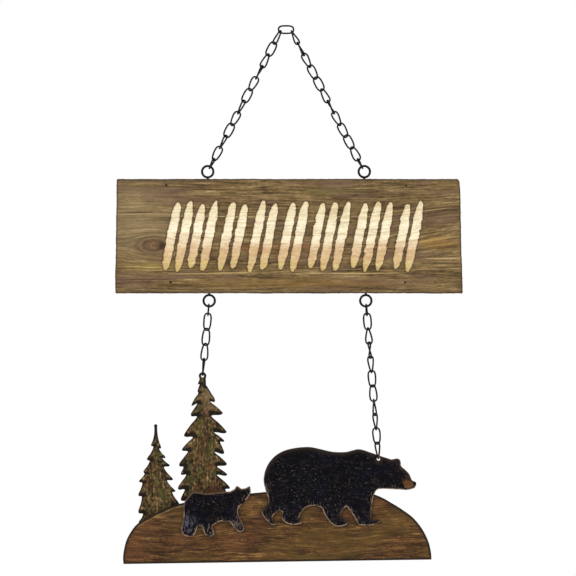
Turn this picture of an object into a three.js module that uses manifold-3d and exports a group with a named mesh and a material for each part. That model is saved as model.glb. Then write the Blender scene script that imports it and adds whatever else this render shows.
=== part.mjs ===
// A rustic hanging sign: a plank on a chain, with a cut-out scene of pines, a hill and two bears hung under it.
// Millimetres. +X is right, +Z is up and the front faces -Y.
// The origin is where the top link of the chain lies over the hook on the wall.
import * as THREE from "three";
import { mergeVertices } from "three/addons/utils/BufferGeometryUtils.js";
import Module from "manifold-3d";

const wasm = await Module();
wasm.setup();

// Board
const boardLength = 348;
const boardHeight = 115;
const boardThickness = 12;
const boardEdge = 1.2;
const boardShift = 2.9; // the board's middle lies this far right of the hang point

// Shallow painted strokes in the front of the board, in groups
const strokeGroups = [4, 2, 2, 2, 3, 3, 2];
const strokeHeight = 68;
const strokeWidth = 9;
const strokeDepth = 1;
const strokePitch = 12.5;
const strokeGroupGap = 5;
const strokeLean = THREE.MathUtils.degToRad(11);
const strokeRowShift = 4; // the row's middle lies right of the board's middle

// Screw eyes
const eyeDiameter = 13.3;
const eyeWire = 2;
const eyeSpacing = 156.6;
const eyeStand = 0.4; // from the board's edge to the ring
const lowerEyeShift = 1.5; // the lower pair lies this far right of the upper pair
const shankDiameter = 2.4;
const shankLength = 14;

// Chains of twisted wire links
const linkWire = 1.5;
const linkWidth = 9;
const connectorLength = 12.5; // the short link in each screw eye
const hangingLinkLength = 16.4;
const leftDropLinkLength = 18.4;
const rightDropLinkLength = 17.65;

// Clearance between neighbouring pieces
const gap = 0.3;

// Lower panel: a hill with figures fixed to its back and front
const hillLength = 307.7;
const hillHeight = 72;
const hillThickness = 6;
const figureThickness = 3.2;
const cutEdge = 0.5;
const hangHoleDiameter = 3.6;
const panelSwing = 6.7; // the panel hangs this far left of its eyes

// Each figure's middle or left end, right of the hill's left foot, and its foot's height over the hill's base
const largePineHeight = 166;
const largePineHeadRadius = 3.9;
const largePineNeck = 3.2; // half of its width
const largePineAcross = 81.6;
const largePineFoot = 24.6;
const smallPineHeight = 117;
const smallPineHeadRadius = 1.7;
const smallPineNeck = 2;
const smallPineAcross = 34;
const smallPineFoot = 22.2;
const bearLength = 155.1;
const bearAcross = 138.4;
const bearFoot = 35;
const cubLength = 69.9;
const cubAcross = 58.4;
const cubFoot = 26.6;

// Angle of each link's two ends about its length, in degrees from face on.
// The first of each pair is the end nearer the screw eye.
const hangingLeftEnds = [
  [90, 70], [-50, 0], [90, 60], [-25, 20], [-60, -5], [85, 60],
  [-20, 25], [-60, 0], [85, 110], [30, 70], [-15, 20], [130, 105],
];
const hangingRightEnds = [
  [90, 75], [0, 55], [-35, 10], [-50, 5], [-70, -15], [75, 105],
  [20, 65], [-25, 20], [-50, 0], [-70, -20], [70, 95], [40, 90],
];
const dropLeftEnds = [[90, 90], [10, 35], [-45, 5], [-60, -10], [75, 90]];
const dropRightEnds = [
  [90, 80], [0, 25], [100, 170], [60, 120], [30, 80], [0, 40],
  [-50, 0], [90, 125], [45, 85], [0, 45], [140, 95],
];

// Materials
const plankStain = new THREE.MeshStandardMaterial({ color: 0x7c6643, roughness: 0.8 });
const hillStain = new THREE.MeshStandardMaterial({ color: 0x5d4228, roughness: 0.75 });
const pineStain = new THREE.MeshStandardMaterial({ color: 0x554429, roughness: 0.75 });
const bearPaint = new THREE.MeshStandardMaterial({ color: 0x17151b, roughness: 0.6 });
const darkWire = new THREE.MeshStandardMaterial({ color: 0x2e2722, roughness: 0.45, metalness: 0.8 });

// The geometry as a solid that can be cut and joined.
function solidOf(geometry) {
  const plain = geometry.clone();
  plain.deleteAttribute("normal");
  plain.deleteAttribute("uv");
  const merged = mergeVertices(plain, 1e-4);
  const vertProperties = merged.attributes.position.array;
  const triVerts = new Uint32Array(merged.index.array);
  return new wasm.Manifold(new wasm.Mesh({ numProp: 3, vertProperties, triVerts }));
}

// The solid as a geometry again.
function geometryOf(solid) {
  const mesh = solid.getMesh();
  const geometry = new THREE.BufferGeometry();
  geometry.setAttribute("position", new THREE.BufferAttribute(new Float32Array(mesh.vertProperties), 3));
  geometry.setIndex(new THREE.BufferAttribute(new Uint32Array(mesh.triVerts), 1));
  geometry.computeVertexNormals();
  return geometry;
}

function piece(name, geometry, material) {
  const mesh = new THREE.Mesh(geometry, material);
  mesh.name = name;
  return mesh;
}

// A shape drawn upright, X by Z, cut from sheet with its edges eased, its middle on Y = 0.
function plate(shape, thickness, edge) {
  const depth = thickness - 2 * edge;
  const geometry = new THREE.ExtrudeGeometry(shape, {
    depth,
    bevelEnabled: true,
    bevelSegments: 1,
    bevelThickness: edge,
    bevelSize: edge,
    bevelOffset: -edge,
    curveSegments: 5,
  });
  return geometry.rotateX(Math.PI / 2).translate(0, depth / 2, 0);
}

// Strokes

// One stroke: a bar with rounded, slightly pointed ends that leans to the right.
// Its half width follows the fourth power of the distance from the middle.
function strokeShape(height) {
  const stations = [0.5, 0.46, 0.3, -0.3, -0.46, -0.5];
  const side = (sign) => stations.map((s) => {
    const half = (strokeWidth / 2) * Math.sqrt(1 - (2 * s) ** 4);
    return new THREE.Vector2(s * height * Math.tan(strokeLean) + sign * half, s * height);
  });
  return new THREE.Shape([...side(1), ...side(-1).reverse().slice(1, -1)]);
}

// Where each stroke's middle lies along the row.
function strokePlaces() {
  const places = [];
  let x = 0;
  for (const count of strokeGroups) {
    for (let i = 0; i < count; i += 1) {
      places.push(x);
      x += strokePitch;
    }
    x += strokeGroupGap;
  }
  const middle = places[places.length - 1] / 2;
  return places.map((place) => place - middle + strokeRowShift);
}

// The board, its middle at the origin
function board() {
  const shape = new THREE.Shape([
    new THREE.Vector2(-boardLength / 2, -boardHeight / 2),
    new THREE.Vector2(boardLength / 2, -boardHeight / 2),
    new THREE.Vector2(boardLength / 2, boardHeight / 2),
    new THREE.Vector2(-boardLength / 2, boardHeight / 2),
  ]);
  let solid = solidOf(plate(shape, boardThickness, boardEdge));
  strokePlaces().forEach((x, i) => {
    const height = strokeHeight * (1 + 0.05 * Math.sin(2.3 * i));
    const cutter = new THREE.ExtrudeGeometry(strokeShape(height), { depth: 2 * strokeDepth, bevelEnabled: false });
    cutter.rotateX(Math.PI / 2).translate(x, strokeDepth - boardThickness / 2, 0);
    solid = solid.subtract(solidOf(cutter));
  });
  const pilot = shankDiameter / 2 + gap;
  for (const [end, shift] of [[1, 0], [-1, lowerEyeShift]]) {
    for (const side of [-1, 1]) {
      const bore = new THREE.CylinderGeometry(pilot, pilot, 2 * (shankLength + gap), 8);
      const x = shift - boardShift + (side * eyeSpacing) / 2;
      bore.rotateX(Math.PI / 2).translate(x, 0, (end * boardHeight) / 2);
      solid = solid.subtract(solidOf(bore));
    }
  }
  return piece("board", geometryOf(solid), plankStain);
}

// Screw eyes

const eyeRing = (eyeDiameter - eyeWire) / 2; // radius to the middle of the wire

// A screw eye with its ring's middle at the origin and its shank pointing down
function screwEye(name) {
  const ring = new THREE.TorusGeometry(eyeRing, eyeWire / 2, 6, 14).rotateX(Math.PI / 2);
  const length = shankLength + eyeStand + eyeWire / 2;
  const shank = new THREE.CylinderGeometry(shankDiameter / 2, shankDiameter / 2, length, 6);
  shank.rotateX(Math.PI / 2).translate(0, 0, -eyeRing - length / 2);
  return piece(name, geometryOf(solidOf(ring).add(solidOf(shank))), darkWire);
}

// Chain

const jointStep = linkWire + gap; // between the wire middles of two joined links
const eyeSeat = eyeRing - eyeWire / 2 - gap - linkWire / 2; // from the ring's middle to the first link's wire

const signedPower = (value, power) => Math.sign(value) * Math.abs(value) ** power;

// The middle of a twisted link's wire: a rounded oblong of the third degree in X by Z,
// turned about Z by an angle that runs evenly from one end to the other.
class LinkCurve extends THREE.Curve {
  constructor(length, ends) {
    super();
    this.half = (length - linkWire) / 2;
    this.ends = ends.map(THREE.MathUtils.degToRad);
  }

  getUtoTmapping(u) {
    return u;
  }

  getPoint(t, target = new THREE.Vector3()) {
    const x = ((linkWidth - linkWire) / 2) * signedPower(Math.cos(2 * Math.PI * t), 2 / 3);
    const z = this.half * signedPower(Math.sin(2 * Math.PI * t), 2 / 3);
    const angle = THREE.MathUtils.mapLinear(z, -this.half, this.half, this.ends[0], this.ends[1]);
    return target.set(x * Math.cos(angle), x * Math.sin(angle), z);
  }
}

function link(name, length, ends) {
  const wire = new THREE.TubeGeometry(new LinkCurve(length, ends), 12, linkWire / 2, 5, true);
  return piece(name, wire, darkWire);
}

// The lengths of a run of links: a connector in the eye, then equal links.
const runLengths = (ends, length) => ends.map((_, i) => (i === 0 ? connectorLength : length));

// From the eye's middle to the wire at the far end of the run.
const runReach = (lengths) =>
  lengths.reduce((sum, length) => sum + length - linkWire - jointStep, eyeSeat + jointStep);

// The links of one run, laid out in a straight line from the eye.
function linkRun(name, eye, direction, lengths, ends) {
  const across = new THREE.Vector3(0, 1, 0).cross(direction).normalize();
  const through = direction.clone().cross(across);
  const turn = new THREE.Matrix4().makeBasis(across, through, direction);
  let near = eyeSeat;
  return lengths.map((length, i) => {
    const half = (length - linkWire) / 2;
    const mesh = link(name + "_" + String(i + 1).padStart(2, "0"), length, ends[i]);
    mesh.quaternion.setFromRotationMatrix(turn);
    mesh.position.copy(eye).addScaledVector(direction, near + half);
    near += 2 * half - jointStep;
    return mesh;
  });
}

// Cut-outs

// Pine branches down one side, from the top: each row is the tip's drop and reach
// and the next notch's drop and reach, in percent of the pine's height.
const largePineLeft = [
  [6.8, 2.8, 7.2, 1.8], [11.2, 3.1, 12.3, 2.8], [19.9, 7.0, 18.6, 3.2], [25.8, 7.4, 26.6, 3.4],
  [38.0, 11.9, 39.0, 6.0], [46.4, 13.2, 47.6, 9.2], [55.8, 14.9, 56.9, 12.1], [61.1, 13.9, 61.5, 10.4],
  [70.0, 15.8, 70.4, 11.5], [76.6, 14.2, 77.6, 10.5],
];
const largePineRight = [
  [7.3, 2.0, 7.8, 2.0], [17.5, 7.3, 17.6, 4.0], [24.9, 12.0, 26.3, 4.5], [36.4, 14.2, 36.3, 6.1],
  [41.5, 12.6, 42.0, 9.8], [49.0, 12.5, 48.1, 6.1], [55.6, 14.1, 56.9, 7.5], [62.0, 14.2, 61.9, 7.4],
  [69.8, 15.6, 70.6, 12.5], [78.0, 15.7, 78.9, 11.4],
];
const smallPineLeft = [
  [17.9, 4.2, 19.1, 2.1], [29.9, 7.9, 31.3, 5.4], [40.2, 11.0, 42.3, 10.0], [48.4, 15.1, 49.9, 12.0],
  [60.4, 15.7, 61.6, 12.6], [75.2, 15.9, 76.5, 11.6], [83.8, 15.8, 84.6, 12.0],
];
const smallPineRight = [
  [20.3, 4.3, 20.9, 2.5], [28.5, 7.9, 29.1, 5.1], [35.3, 11.7, 36.7, 6.1], [47.3, 14.3, 48.2, 8.6],
  [57.3, 16.2, 58.3, 13.1], [68.0, 19.2, 70.1, 14.5], [80.3, 15.5, 81.2, 12.0],
];

// The outline of a pine's right side, from its tip down to its foot.
// The head is a half circle, each branch sweeps out to a blunt tip and is cut straight back under it.
// A sweep over a half swells the branch's upper edge, and one under a half hollows it.
function pineSide(height, head, sweep, rows) {
  const share = height / 100;
  const points = [];
  for (let i = 0; i <= 3; i += 1) {
    const angle = Math.PI / 2 - i * 0.7;
    points.push(new THREE.Vector2(head.radius * Math.cos(angle), height - head.radius * (1 - Math.sin(angle))));
  }
  let notch = new THREE.Vector2(head.neck, height - head.drop);
  points.push(notch);
  for (const [tipDrop, tipReach, notchDrop, notchReach] of rows) {
    const tip = new THREE.Vector2(tipReach * share, height - tipDrop * share);
    const bend = new THREE.Vector2(
      THREE.MathUtils.lerp(notch.x, tip.x, sweep),
      THREE.MathUtils.lerp(notch.y, tip.y, 1 - sweep),
    );
    points.push(...new THREE.QuadraticBezierCurve(notch, bend, tip).getPoints(2).slice(1));
    notch = new THREE.Vector2(notchReach * share, height - notchDrop * share);
    points.push(tip.clone().lerp(notch, 0.12).add(new THREE.Vector2(0, -0.006 * height)));
    points.push(notch);
  }
  const foot = 0.06 * height;
  points.push(new THREE.Vector2(foot, notch.y - foot), new THREE.Vector2(foot, 0));
  return points;
}

function pineShape(height, head, sweep, left, right) {
  const leftSide = pineSide(height, head, sweep, left).map((point) => new THREE.Vector2(-point.x, point.y));
  return new THREE.Shape([...pineSide(height, head, sweep, right), ...leftSide.reverse().slice(0, -1)]);
}

// An outline through stretches of smooth curve that meet in corners, in percent of the length.
// Each stretch ends where the next begins.
function figureShape(length, stretches) {
  const points = [];
  for (const stretch of stretches) {
    const ends = stretch.map(([x, z]) => new THREE.Vector2((x * length) / 100, (z * length) / 100));
    const steps = ends.length === 2 ? 1 : 2 * (ends.length - 1);
    points.push(...new THREE.SplineCurve(ends).getPoints(steps).slice(0, -1));
  }
  return new THREE.Shape(points);
}

const bearOutline = {
  back: [
    [3.1, 23.3], [1.8, 30.3], [3.4, 37.6], [7.3, 43.7], [13.0, 48.0], [20.7, 50.4], [32.3, 51.1],
    [45.8, 48.0], [55.4, 47.7], [63.2, 49.3], [70.9, 47.1], [78.6, 44.3], [84.4, 42.4],
  ],
  ear: [[84.4, 42.4], [88.3, 42.9], [90.1, 41.4], [90.5, 38.2]],
  brow: [[90.5, 38.2], [95.6, 32.9], [97.3, 29.0], [99.7, 27.7]],
  nose: [[99.7, 27.7], [100.1, 26.4], [98.8, 23.8], [94.3, 22.6]],
  throat: [[94.3, 22.6], [83.0, 23.3], [74.8, 22.9], [71.7, 15.2], [70.7, 4.4]],
  frontPaw: [[70.7, 4.4], [77.2, 3.1], [71.0, 0.3], [62.7, 0.5]],
  frontLegBack: [[62.7, 0.5], [59.6, 6.3], [54.8, 13.0]],
  farFrontLeg: [[54.8, 13.0], [50.6, 7.4]],
  farFrontPaw: [[50.6, 7.4], [56.2, 1.5], [47.9, 0.0], [42.3, 5.1], [39.1, 11.7]],
  belly: [[39.1, 11.7], [34.3, 13.4], [28.4, 11.9], [24.2, 6.3]],
  hindPaw: [[24.2, 6.3], [25.8, 2.1], [18.4, 1.5], [13.5, 4.8], [13.6, 9.8]],
  betweenHindLegs: [[13.6, 9.8], [11.4, 10.3]],
  farHindLeg: [[11.4, 10.3], [7.0, 6.7], [9.3, 1.7]],
  farHindPaw: [[9.3, 1.7], [6.8, 1.4], [2.0, 5.9], [0.0, 10.1]],
  rump: [[0.0, 10.1], [4.7, 16.6], [3.1, 23.3]],
};

const cubOutline = {
  back: [[3.4, 38.2], [4.3, 48.4], [11.9, 59.2], [19.3, 63.7], [37.5, 61.5], [55.8, 62.9], [70.4, 63.8]],
  nearEar: [[70.4, 63.8], [77.0, 67.4], [80.1, 71.5], [86.4, 67.4]],
  farEar: [[86.4, 67.4], [92.6, 68.0], [98.3, 70.9], [99.6, 67.4], [100.0, 63.1]],
  muzzle: [[100.0, 63.1], [98.0, 57.9], [94.3, 52.9], [88.3, 45.8], [82.3, 40.8]],
  chest: [[82.3, 40.8], [81.4, 32.0], [86.3, 21.7], [90.4, 10.7]],
  frontPaw: [[90.4, 10.7], [83.7, 5.0], [73.7, 14.7], [69.4, 20.7]],
  belly: [[69.4, 20.7], [62.1, 20.5], [54.8, 21.0], [43.8, 14.7]],
  nearHindPaw: [[43.8, 14.7], [47.1, 2.1], [35.5, 1.0], [29.2, 14.3]],
  betweenHindLegs: [[29.2, 14.3], [24.0, 15.9]],
  farHindPaw: [[24.0, 15.9], [16.5, 0.0], [2.6, 3.1], [0.0, 12.6]],
  rump: [[0.0, 12.6], [3.1, 27.2], [3.4, 38.2]],
};

// The hill's upper edge from its left foot to its right one, in percent of its length and height.
const hillRise = [
  [0.0, 0.0], [-0.1, 11.1], [1.1, 33.3], [4.2, 53.5], [8.1, 63.9], [12.7, 73.6], [18.5, 82.5],
  [30.9, 90.7], [45.4, 96.7], [61.7, 100.0], [73.1, 97.9], [81.8, 91.4], [87.1, 79.9], [91.3, 68.3],
  [94.6, 56.9], [97.5, 40.3], [99.3, 22.9], [100.0, 6.9], [100.0, 0.0],
];

function hillShape() {
  const rise = hillRise.map(([x, z]) => new THREE.Vector2((x * hillLength) / 100, (z * hillHeight) / 100));
  return new THREE.Shape(new THREE.SplineCurve(rise).getPoints(2 * (rise.length - 1)));
}

function drillHangHole(shape, x, z) {
  shape.holes.push(new THREE.Path().absarc(x, z, hangHoleDiameter / 2, 0, 2 * Math.PI));
  return shape;
}

// Where things hang

const topLinkHalf = (hangingLinkLength - linkWire) / 2;
const topLinkMiddle = -(linkWidth / 2 - linkWire);
const seatAlong = topLinkHalf - 1.2 * jointStep;
const seatHeight = topLinkMiddle - ((linkWidth - linkWire) / 2 - 1.45 * jointStep);

const hangingLengths = runLengths(hangingLeftEnds, hangingLinkLength);
const hangingReach = runReach(hangingLengths);
const upperEyeHeight = seatHeight - Math.sqrt(hangingReach ** 2 - (eyeSpacing / 2 - seatAlong) ** 2);
const boardTop = upperEyeHeight - eyeDiameter / 2 - eyeStand;
const lowerEyeHeight = boardTop - boardHeight - eyeDiameter / 2 - eyeStand;

const upperLeftEye = new THREE.Vector3(-eyeSpacing / 2, 0, upperEyeHeight);
const upperRightEye = new THREE.Vector3(eyeSpacing / 2, 0, upperEyeHeight);
const lowerLeftEye = new THREE.Vector3(lowerEyeShift - eyeSpacing / 2, 0, lowerEyeHeight);
const lowerRightEye = new THREE.Vector3(lowerEyeShift + eyeSpacing / 2, 0, lowerEyeHeight);

// The pines' backs lie in the plane of the board's back, and the bears are in front of the hill.
const pineDepth = boardThickness / 2 - figureThickness / 2;
const hillDepth = pineDepth - figureThickness / 2 - gap - hillThickness / 2;
const bearDepth = hillDepth - hillThickness / 2 - gap - figureThickness / 2;

// The holes' places in the panel, X by Z from the hill's left foot
const pineHole = new THREE.Vector2(largePineAcross, largePineFoot + largePineHeight - largePineHeadRadius);
const bearHoleShare = new THREE.Vector2(76.0, 42.7); // in percent of the bear's length
const bearHoleOffset = bearHoleShare.clone().multiplyScalar(bearLength / 100);
const bearHole = bearHoleOffset.clone().add(new THREE.Vector2(bearAcross, bearFoot));

// The last link's wire lies against the top of its hole.
const holeRise = hangHoleDiameter / 2 - linkWire / 2 - gap;
const leftDropLengths = runLengths(dropLeftEnds, leftDropLinkLength);
const rightDropLengths = runLengths(dropRightEnds, rightDropLinkLength);
const leftDrop = runReach(leftDropLengths) + holeRise;
const rightDrop = runReach(rightDropLengths) + holeRise;

// The pine's hole hangs from the left eye. The bear's hole is as far from the right eye as its chain reaches
// and as far from the pine's hole as the panel sets it, which gives the panel its tilt.
const pineHoleHung = new THREE.Vector3(
  lowerLeftEye.x - panelSwing,
  pineDepth,
  lowerEyeHeight - Math.sqrt(leftDrop ** 2 - panelSwing ** 2 - pineDepth ** 2),
);

function crossing(centreA, radiusA, centreB, radiusB) {
  const apart = centreA.distanceTo(centreB);
  const along = (radiusA ** 2 - radiusB ** 2 + apart ** 2) / (2 * apart);
  const aside = Math.sqrt(radiusA ** 2 - along ** 2);
  const line = centreB.clone().sub(centreA).normalize();
  return centreA.clone().addScaledVector(line, along).add(new THREE.Vector2(line.y, -line.x).multiplyScalar(aside));
}

const bearHoleFlat = crossing(
  new THREE.Vector2(pineHoleHung.x, pineHoleHung.z),
  pineHole.distanceTo(bearHole),
  new THREE.Vector2(lowerRightEye.x, lowerRightEye.z),
  Math.sqrt(rightDrop ** 2 - bearDepth ** 2),
);
const bearHoleHung = new THREE.Vector3(bearHoleFlat.x, bearDepth, bearHoleFlat.y);
const panelTilt =
  Math.atan2(bearHoleHung.z - pineHoleHung.z, bearHoleHung.x - pineHoleHung.x) -
  Math.atan2(bearHole.y - pineHole.y, bearHole.x - pineHole.x);

// The lower panel, its own origin at the hill's left foot
function lowerPanel() {
  const panel = new THREE.Group();
  const cut = (name, shape, material, across, foot, depth, thickness) => {
    const mesh = piece(name, plate(shape, thickness, cutEdge), material);
    mesh.position.set(across, depth, foot);
    panel.add(mesh);
  };
  const largeHead = { radius: largePineHeadRadius, drop: 0.045 * largePineHeight, neck: largePineNeck };
  const smallHead = { radius: smallPineHeadRadius, drop: 0.1 * smallPineHeight, neck: smallPineNeck };
  const largePine = pineShape(largePineHeight, largeHead, 0.56, largePineLeft, largePineRight);
  const smallPine = pineShape(smallPineHeight, smallHead, 0.42, smallPineLeft, smallPineRight);
  const bear = figureShape(bearLength, Object.values(bearOutline));
  const cub = figureShape(cubLength, Object.values(cubOutline));
  drillHangHole(largePine, 0, largePineHeight - largePineHeadRadius);
  drillHangHole(bear, bearHoleOffset.x, bearHoleOffset.y);
  cut("hill", hillShape(), hillStain, 0, 0, hillDepth, hillThickness);
  cut("pine_large", largePine, pineStain, largePineAcross, largePineFoot, pineDepth, figureThickness);
  cut("pine_small", smallPine, pineStain, smallPineAcross, smallPineFoot, pineDepth, figureThickness);
  cut("bear_adult", bear, bearPaint, bearAcross, bearFoot, bearDepth, figureThickness);
  cut("bear_cub", cub, bearPaint, cubAcross, cubFoot, bearDepth, figureThickness);
  const offset = pineHole.clone().rotateAround(new THREE.Vector2(), panelTilt);
  panel.rotation.y = -panelTilt;
  panel.position.set(pineHoleHung.x - offset.x, 0, pineHoleHung.z - offset.y);
  return panel;
}

// The link over the hook lies along X, face on.
function topLink() {
  const mesh = link("hanging_link_top", hangingLinkLength, [0, 0]);
  mesh.rotation.y = Math.PI / 2;
  mesh.position.z = topLinkMiddle;
  return mesh;
}

function hangingSign() {
  const sign = new THREE.Group();
  const towards = (from, to) => to.clone().sub(from).normalize();
  const leftSeat = new THREE.Vector3(-seatAlong, 0, seatHeight);
  const rightSeat = new THREE.Vector3(seatAlong, 0, seatHeight);
  const runs = [
    ["hanging_link_left", upperLeftEye, leftSeat, hangingLengths, hangingLeftEnds],
    ["hanging_link_right", upperRightEye, rightSeat, hangingLengths, hangingRightEnds],
    ["drop_link_left", lowerLeftEye, pineHoleHung, leftDropLengths, dropLeftEnds],
    ["drop_link_right", lowerRightEye, bearHoleHung, rightDropLengths, dropRightEnds],
  ];
  for (const [name, eye, end, lengths, ends] of runs) {
    sign.add(...linkRun(name, eye, towards(eye, end), lengths, ends));
  }
  const eyes = [
    ["screw_eye_top_left", upperLeftEye, 0],
    ["screw_eye_top_right", upperRightEye, 0],
    ["screw_eye_bottom_left", lowerLeftEye, Math.PI],
    ["screw_eye_bottom_right", lowerRightEye, Math.PI],
  ];
  for (const [name, place, turn] of eyes) {
    const eye = screwEye(name);
    eye.position.copy(place);
    eye.rotation.y = turn;
    sign.add(eye);
  }
  const plank = board();
  plank.position.set(boardShift, 0, boardTop - boardHeight / 2);
  sign.add(plank, topLink(), lowerPanel());
  return sign;
}

export default hangingSign();
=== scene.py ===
# The looks of a rustic hanging sign: a weathered plank on a chain, over a cut-out hill with pines and bears.
import math

import bpy
import numpy as np
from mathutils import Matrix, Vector
from mathutils.geometry import delaunay_2d_cdt


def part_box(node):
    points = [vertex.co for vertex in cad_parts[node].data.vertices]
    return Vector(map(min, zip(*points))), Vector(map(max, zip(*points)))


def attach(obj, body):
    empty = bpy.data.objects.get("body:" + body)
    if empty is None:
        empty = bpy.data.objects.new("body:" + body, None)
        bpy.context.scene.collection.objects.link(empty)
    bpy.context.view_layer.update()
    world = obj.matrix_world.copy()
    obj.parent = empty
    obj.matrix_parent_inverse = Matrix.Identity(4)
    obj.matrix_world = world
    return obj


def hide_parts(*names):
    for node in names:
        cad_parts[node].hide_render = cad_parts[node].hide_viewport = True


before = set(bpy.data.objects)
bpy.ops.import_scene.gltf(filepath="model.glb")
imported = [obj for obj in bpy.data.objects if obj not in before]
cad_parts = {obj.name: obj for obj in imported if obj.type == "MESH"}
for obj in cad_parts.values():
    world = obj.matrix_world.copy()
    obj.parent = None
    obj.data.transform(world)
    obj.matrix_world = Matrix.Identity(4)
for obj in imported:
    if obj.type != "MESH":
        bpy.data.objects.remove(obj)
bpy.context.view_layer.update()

# Sizes are in millimetres in the frame of the solids, and become metres where a mesh is made.
MM = 0.001

# Board, with places on it as X and Z from its middle
BOARD_LENGTH = 348.0
BOARD_HEIGHT = 115.0
BOARD_THICKNESS = 12.0
BOARD_MIDDLE = (2.9, sum(corner.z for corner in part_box("board")) / 2 / MM)
BOARD_ROUND = 1.7  # radius of the front's edges
BACK_ROUND = 1.2
BOARD_TAPER = (1.5, 2.9)  # the top edge is this much shorter at its left and right
BOARD_CORNERS = (4.0, 1.6)  # radius of the upper right corner, and of the others
BOARD_KNOTS = ((-134.6, -9.3, 7.8, 1.95), (141.8, -45.6, 2.7, 1.9))  # place, radius, stretch along the grain
BOARD_PITS = ((-122.5, 50.8, 0.9), (-118.0, -46.1, 1.1), (117.1, 50.2, 0.9), (116.1, -46.2, 1.0))
PIT_DEPTH = 1.6
GRAIN_RISE = 12.0  # how far the grain rises at the right end
WORN_REACH = 12.0  # the rim's wear fades out this far in
SAW_MARKS = 0.35

# Painted strokes
STROKE_GROUPS = (4, 2, 2, 2, 3, 3, 2)
STROKE_HEIGHT = 68.0
STROKE_WIDTH = 9.0
STROKE_DEPTH = 1.0
STROKE_PITCH = 12.5
STROKE_GROUP_GAP = 5.0
STROKE_LEAN = math.tan(math.radians(11))
STROKE_ROW_SHIFT = 4.0
FAR_OUTSIDE = -20.0  # stands for any distance well outside a stroke

# Cut-outs
BOW_CORNER = 110  # the bows at a cut-out's points turn by less than this
HOLE_SHARE = 0.8  # the hang holes close in on the link's wire by this share
HILL_KNOTS = ((-42.0, -512.9, 2.6, 1.8),)

# Screw eyes
EYE_DIAMETER = 13.3
EYE_WIRE = 2.0
EYE_COAT = 0.15
EYE_SPACING = 156.6
LOWER_EYE_SHIFT = 1.5
EYE_STAND = 0.4
EYE_SIDES = 14
SHANK_LENGTH = 14.0
SHANK_STEPS = 150
SHANK_POINT = 2.4
THREAD_PITCH = 1.3
THREAD_START = 1.5
THREAD_RISE = 0.2

# Chain
LINK_WIRE = 1.5
WIRE_COAT = 0.13  # plating and rust on the links, less than half the gap between them
LINK_WIDTH = 9.0
LINK_SIDES = 12
CONNECTOR_LENGTH = 12.5
HANGING_LINK_LENGTH = 16.4
LEFT_DROP_LINK_LENGTH = 18.4
RIGHT_DROP_LINK_LENGTH = 17.65
JOINT = LINK_WIRE + 0.3  # two wires' middles at a joint are this far apart
RING_STEPS = 72

# Each link's two ends, in degrees about its length from face on, the end nearer the screw eye first
HANGING_LEFT_ENDS = (
    (90, 70), (-50, 0), (90, 60), (-25, 20), (-60, -5), (85, 60),
    (-20, 25), (-60, 0), (85, 110), (30, 70), (-15, 20), (130, 105),
)
HANGING_RIGHT_ENDS = (
    (90, 75), (0, 55), (-35, 10), (-50, 5), (-70, -15), (75, 105),
    (20, 65), (-25, 20), (-50, 0), (-70, -20), (70, 95), (40, 90),
)
DROP_LEFT_ENDS = ((90, 90), (10, 35), (-45, 5), (-60, -10), (75, 90))
DROP_RIGHT_ENDS = (
    (90, 80), (0, 25), (100, 170), (60, 120), (30, 80), (0, 40),
    (-50, 0), (90, 125), (45, 85), (0, 45), (140, 95),
)

# Studio, in metres
FLOOR_REACH = 1.0
FLOOR_LEVEL = -0.62
LIGHT_AIM = Vector((0, 0, -0.27))
CAMERA_PLACE = (0.002, -6.0, -0.2614)
SEEN_WIDTH = 0.576  # what the frame spans at the sign
SENSOR_WIDTH = 36


# Mesh helpers

def add_piece(name, node, points, faces, material, smooth_angle=40):
    """A piece in a node's place, from points in millimetres, smooth but for edges sharper than the angle."""
    mesh = bpy.data.meshes.new(name)
    mesh.from_pydata((np.asarray(points) * MM).tolist(), [], faces)
    mesh.materials.append(material)
    mesh.shade_smooth()
    mesh.set_sharp_from_angle(angle=math.radians(smooth_angle))
    piece = bpy.data.objects.new(name, mesh)
    bpy.context.scene.collection.objects.link(piece)
    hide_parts(node)
    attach(piece, "root")
    return piece


def point_values(piece, **values):
    """Stores a number for each vertex, under each name that a material reads."""
    for name, numbers in values.items():
        layer = piece.data.attributes.new(name, "FLOAT", "POINT")
        layer.data.foreach_set("value", np.asarray(numbers, dtype=np.float32))


def grain_map(piece, along, across):
    """Stores the grain coordinates of each vertex, in metres, as the piece's UV map."""
    loops = np.empty(len(piece.data.loops), dtype=np.int32)
    piece.data.loops.foreach_get("vertex_index", loops)
    pairs = np.column_stack([along, across])[loops] * MM
    layer = piece.data.uv_layers.new(name="grain")
    layer.uv.foreach_set("vector", pairs.astype(np.float32).ravel())


def grid_faces(number):
    """A square for each cell of a grid of point numbers."""
    corners = [number[:-1, :-1], number[:-1, 1:], number[1:, 1:], number[1:, :-1]]
    return np.stack(corners, axis=-1).reshape(-1, 4).tolist()


def closed_body(front, front_faces, rim, sides, walls, back, back_faces):
    """Points and faces of a front sheet, walls that go back from its rim and a back sheet.

    Rim numbers the front's rim points in the order of the walls' points and of the back's first points."""
    firsts = [len(front) + len(rim) * i for i in range(len(walls) + 1)]
    levels = [rim[sides]] + [sides + first for first in firsts]
    faces = list(front_faces)
    for above, below in zip(levels, levels[1:]):
        faces += np.hstack([above[:, :1], below, above[:, 1:]]).tolist()
    faces += (back_faces[:, ::-1] + firsts[-1]).tolist()
    return np.vstack([front, *walls, back]), faces


def lattice(ix, iz, seed):
    """A fixed number from 0 to 1 for each whole-numbered place, from products of large primes."""
    h = (ix * 374761393 + iz * 668265263 + seed * 974711) & 0xFFFFFFFF
    h = ((h ^ (h >> 13)) * 1274126177) & 0xFFFFFFFF
    return ((h ^ (h >> 16)) & 0xFFFF) / 65535.0


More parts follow.
